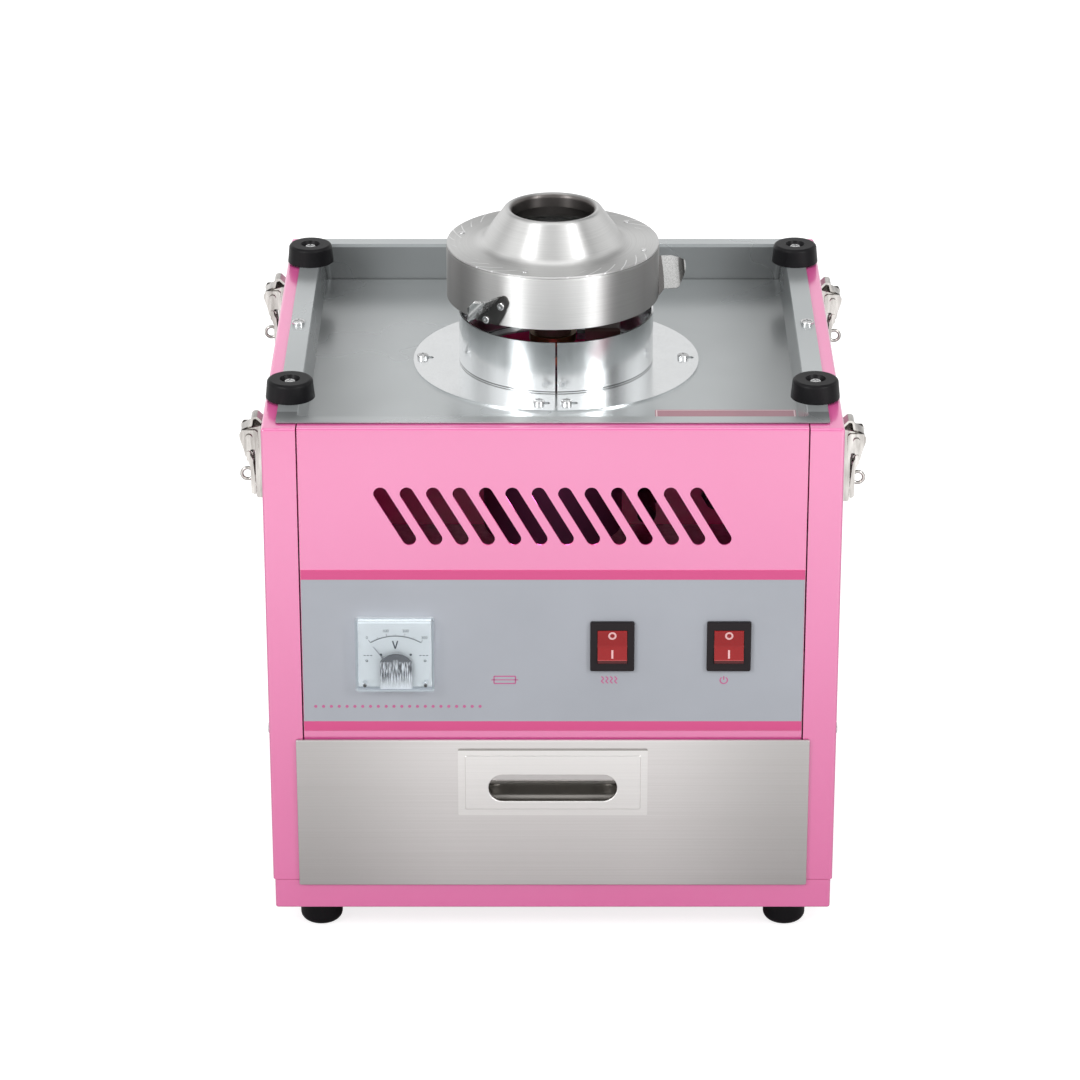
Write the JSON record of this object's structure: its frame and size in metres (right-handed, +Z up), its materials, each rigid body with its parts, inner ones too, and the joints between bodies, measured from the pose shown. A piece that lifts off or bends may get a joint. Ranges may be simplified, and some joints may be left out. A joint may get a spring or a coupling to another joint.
{
  "type": "candy floss machine",
  "caption": "Electric candy floss machine: boxy sheet-metal cabinet with drawer, voltmeter and rocker switches, drip tray, bumpers, toggle latches and a spinning head.",
  "frame": {"origin": "centre of the bounding box at the level of the feet", "axes": "+Z up, -Y towards the control panel and drawer, +X to the right seen from the front"},
  "size_m": [0.3616, 0.3398, 0.3994],
  "materials": {
    "pink_paint": "gloss powder coat",
    "tray_paint": "satin grey",
    "zinc_plate": "zinc plated",
    "drawer_steel": "fine horizontal brushing",
    "pull_steel": "satin pressing",
    "box_steel": "plain sheet",
    "collar_steel": "polished",
    "head_aluminium": "turned satin",
    "hub_aluminium": "turned",
    "vane_steel": "satin",
    "rivet_steel": "plain",
    "screw_steel": "bright",
    "latch_nickel": "bright nickel",
    "black_rubber": "smooth satin",
    "bush_rubber": "matt",
    "overlay_film": "printed film",
    "meter_case": "pale moulding",
    "meter_clear": "clear moulding",
    "dial_white": "printed plate",
    "needle_black": "matt",
    "switch_black": "moulded",
    "rocker_red": "moulded",
    "fuse_black": "moulded",
    "fuse_glass": "glass tube",
    "gland_nylon": "moulded nylon",
    "motor_paint": "dark enamel",
    "motor_core": "laminated",
    "shaft_steel": "ground",
    "bearing_bronze": "sintered",
    "ring_brass": "turned",
    "phenolic": "moulded",
    "carbon": "graphite",
    "heater_alloy": "oxidised",
    "ceramic": "unglazed"
  },
  "bodies": {
    "cabinet": {"base_pan": "pink_paint", "left_side_panel": "pink_paint", "right_side_panel": "pink_paint", "back_panel": "pink_paint", "front_panel": "pink_paint", "control_overlay": "overlay_film", "inner_shelf": "zinc_plate", "top_tray": "tray_paint", "feet": "black_rubber", "bowl_bumpers": "black_rubber", "rubber_screws": "screw_steel", "machine_screws": "screw_steel", "left_collar": "collar_steel", "right_collar": "collar_steel", "motor_plate": "zinc_plate", "motor_bushes": "bush_rubber", "motor_studs": "screw_steel", "motor_housing": "motor_paint", "motor_end_cap": "motor_paint", "motor_bearings": "bearing_bronze", "motor_stator": "motor_core", "brush_holder": "phenolic", "carbon_brushes": "carbon", "voltmeter_body": "meter_case", "voltmeter_dial": "dial_white", "voltmeter_cover": "meter_clear", "switch_bodies": "switch_black", "cable_gland": "gland_nylon", "fuse_holder": "fuse_black", "drawer_runners": "zinc_plate", "latch_bases": "latch_nickel"},
    "spinner": {"motor_rotor": "motor_core", "motor_shaft": "shaft_steel", "slip_ring_drum": "phenolic", "slip_rings": "ring_brass", "head_hub": "hub_aluminium", "head_base": "head_aluminium", "head_band": "head_aluminium", "head_cover": "head_aluminium", "sugar_cup": "hub_aluminium", "heater_ring": "heater_alloy", "heater_insulators": "ceramic", "wind_vanes": "vane_steel", "head_rivets": "rivet_steel"},
    "drawer": {"drawer_front": "drawer_steel", "drawer_box": "box_steel", "drawer_pull": "pull_steel"},
    "heat_rocker": {"heat_rocker": "rocker_red"},
    "power_rocker": {"power_rocker": "rocker_red"},
    "voltmeter_needle": {"voltmeter_needle": "needle_black"},
    "fuse_link": {"fuse_link": "fuse_glass"},
    "fuse_cap": {"fuse_cap": "fuse_black"},
    "latch_lever_front_left": {"latch_lever_front_left": "latch_nickel"},
    "latch_lever_front_right": {"latch_lever_front_right": "latch_nickel"},
    "latch_lever_back_left": {"latch_lever_back_left": "latch_nickel"},
    "latch_lever_back_right": {"latch_lever_back_right": "latch_nickel"},
    "latch_hook_front_left": {"latch_hook_front_left": "latch_nickel"},
    "latch_hook_front_right": {"latch_hook_front_right": "latch_nickel"},
    "latch_hook_back_left": {"latch_hook_back_left": "latch_nickel"},
    "latch_hook_back_right": {"latch_hook_back_right": "latch_nickel"}
  },
  "joints": [
    {"name": "spinner_turn", "type": "hinge", "parent": "cabinet", "child": "spinner", "pos_m": [0, -0.00245, 0.347], "axis": [0, 0, 1], "continuous": true},
    {"name": "drawer_slide", "type": "slide", "parent": "cabinet", "child": "drawer", "axis": [0, -1, 0], "range_m": [0, 0.23]},
    {"name": "heat_rocker_tilt", "type": "hinge", "parent": "cabinet", "child": "heat_rocker", "pos_m": [0.0343, -0.16365, 0.1886], "axis": [1, 0, 0], "range_deg": [0, 16]},
    {"name": "power_rocker_tilt", "type": "hinge", "parent": "cabinet", "child": "power_rocker", "pos_m": [0.1015, -0.16365, 0.1886], "axis": [1, 0, 0], "range_deg": [0, 16]},
    {"name": "needle_turn", "type": "hinge", "parent": "cabinet", "child": "voltmeter_needle", "pos_m": [-0.091, -0.16675, 0.172], "axis": [0, 1, 0], "range_deg": [0, 72]},
    {"name": "fuse_pull", "type": "slide", "parent": "cabinet", "child": "fuse_link", "axis": [0, 1, 0], "range_m": [0, 0.045]},
    {"name": "fuse_cap_turn", "type": "hinge", "parent": "fuse_link", "child": "fuse_cap", "pos_m": [0.06, 0.15615, 0.15], "axis": [0, 1, 0], "range_deg": [0, 90]},
    {"name": "latch_lever_front_left_swing", "type": "hinge", "parent": "cabinet", "child": "latch_lever_front_left", "pos_m": [-0.1746, -0.11645, 0.3024], "axis": [0, 1, 0], "range_deg": [0, 110]},
    {"name": "latch_hook_front_left_swing", "type": "hinge", "parent": "latch_lever_front_left", "child": "latch_hook_front_left", "pos_m": [-0.1751, -0.11645, 0.2909], "axis": [0, -1, 0], "range_deg": [0, 126.5]},
    {"name": "latch_lever_front_right_swing", "type": "hinge", "parent": "cabinet", "child": "latch_lever_front_right", "pos_m": [0.1746, -0.11645, 0.3], "axis": [0, -1, 0], "range_deg": [0, 110]},
    {"name": "latch_hook_front_right_swing", "type": "hinge", "parent": "latch_lever_front_right", "child": "latch_hook_front_right", "pos_m": [0.1751, -0.11645, 0.2885], "axis": [0, 1, 0], "range_deg": [0, 126.5]},
    {"name": "latch_lever_back_left_swing", "type": "hinge", "parent": "cabinet", "child": "latch_lever_back_left", "pos_m": [-0.1746, 0.11355, 0.3024], "axis": [0, 1, 0], "range_deg": [0, 110]},
    {"name": "latch_hook_back_left_swing", "type": "hinge", "parent": "latch_lever_back_left", "child": "latch_hook_back_left", "pos_m": [-0.1751, 0.11355, 0.2909], "axis": [0, -1, 0], "range_deg": [0, 126.5]},
    {"name": "latch_lever_back_right_swing", "type": "hinge", "parent": "cabinet", "child": "latch_lever_back_right", "pos_m": [0.1746, 0.11355, 0.3], "axis": [0, -1, 0], "range_deg": [0, 110]},
    {"name": "latch_hook_back_right_swing", "type": "hinge", "parent": "latch_lever_back_right", "child": "latch_hook_back_right", "pos_m": [0.1751, 0.11355, 0.2885], "axis": [0, 1, 0], "range_deg": [0, 126.5]}
  ],
  "couplings": [
    {"joint": "latch_hook_front_left_swing", "follows": "latch_lever_front_left_swing", "ratio": 1.15},
    {"joint": "latch_hook_front_right_swing", "follows": "latch_lever_front_right_swing", "ratio": 1.15},
    {"joint": "latch_hook_back_left_swing", "follows": "latch_lever_back_left_swing", "ratio": 1.15},
    {"joint": "latch_hook_back_right_swing", "follows": "latch_lever_back_right_swing", "ratio": 1.15}
  ]
}
